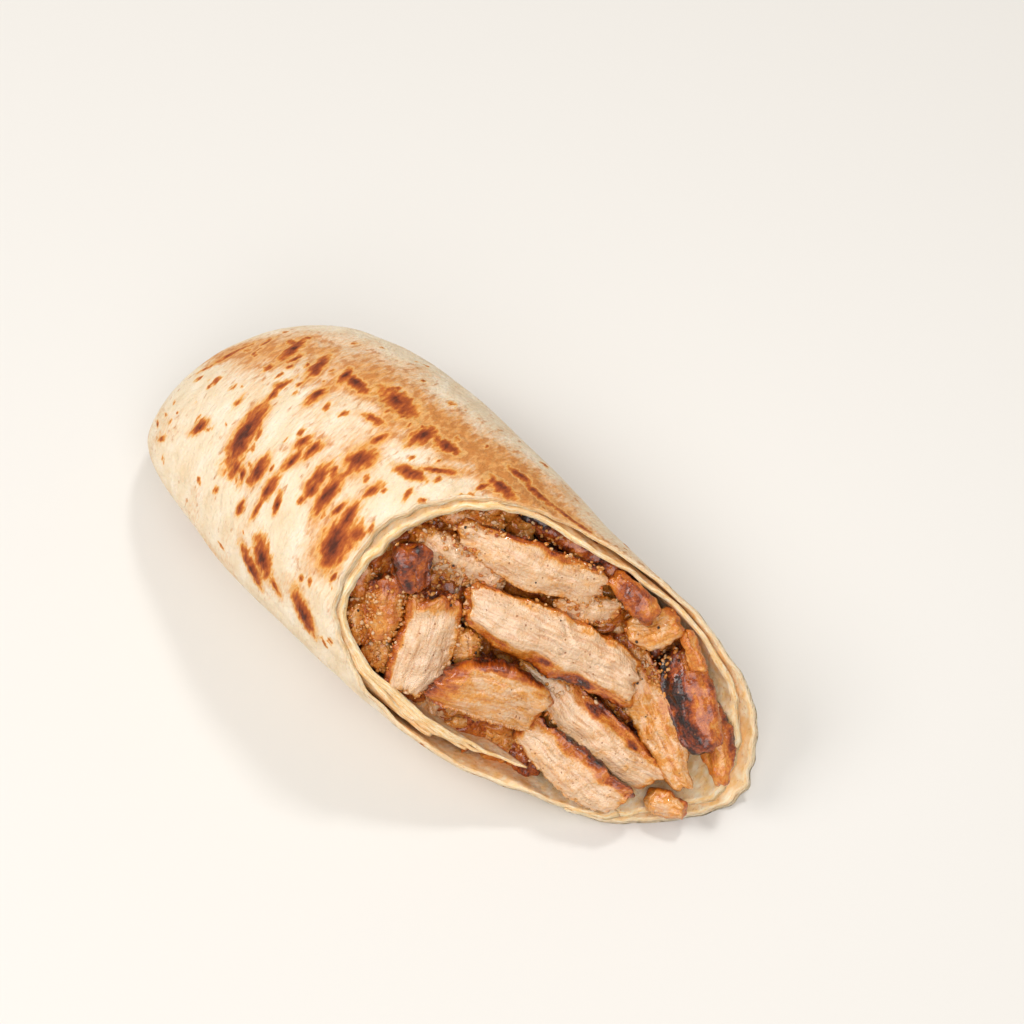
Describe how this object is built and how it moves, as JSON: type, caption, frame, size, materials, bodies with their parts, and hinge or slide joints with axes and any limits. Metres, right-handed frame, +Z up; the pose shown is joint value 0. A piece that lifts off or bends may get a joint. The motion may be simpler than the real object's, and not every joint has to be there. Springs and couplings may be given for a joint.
{
  "type": "wrap sandwich half",
  "caption": "Half of a gyro-style wrap cut on the slant: thin flatbread rolled in a spiral, shut at one end, with grilled chicken slices showing at the cut",
  "frame": {"origin": "middle of the underside of the whole piece, on the surface it rests on", "axes": "+X along the roll from the closed end to the cut, +Z up; the cut face looks towards +X, -Y and up"},
  "size_m": [0.1668, 0.0724, 0.0593],
  "materials": {
    "flatbread": "soft toasted wheat flatbread: matt cream ground with brown griddle spots and amber haloes",
    "grilled_chicken": "moist grilled chicken: pale fibrous cut faces, orange-brown seared skin and charred edges",
    "chicken_filling": "dark moist mass of spiced chicken deep in the roll"
  },
  "bodies": {
    "root": {"flatbread": "flatbread", "filling_core": "chicken_filling", "chicken_slice_01": "grilled_chicken", "chicken_slice_02": "grilled_chicken", "chicken_slice_03": "grilled_chicken", "chicken_slice_04": "grilled_chicken", "chicken_slice_05": "grilled_chicken", "chicken_slice_06": "grilled_chicken", "chicken_slice_07": "grilled_chicken", "chicken_slice_08": "grilled_chicken", "chicken_slice_09": "grilled_chicken", "chicken_slice_10": "grilled_chicken", "chicken_slice_11": "grilled_chicken", "chicken_slice_12": "grilled_chicken", "chicken_slice_13": "grilled_chicken", "chicken_slice_14": "grilled_chicken", "chicken_slice_15": "grilled_chicken", "chicken_slice_16": "grilled_chicken", "chicken_slice_17": "grilled_chicken", "chicken_slice_18": "grilled_chicken", "chicken_slice_19": "grilled_chicken", "chicken_slice_20": "grilled_chicken", "chicken_slice_21": "grilled_chicken", "chicken_slice_22": "grilled_chicken", "chicken_slice_23": "grilled_chicken", "chicken_slice_24": "grilled_chicken", "chicken_slice_25": "grilled_chicken", "chicken_slice_26": "grilled_chicken", "chicken_slice_27": "grilled_chicken", "chicken_slice_28": "grilled_chicken", "chicken_slice_29": "grilled_chicken", "chicken_slice_30": "grilled_chicken"}
  },
  "joints": []
}
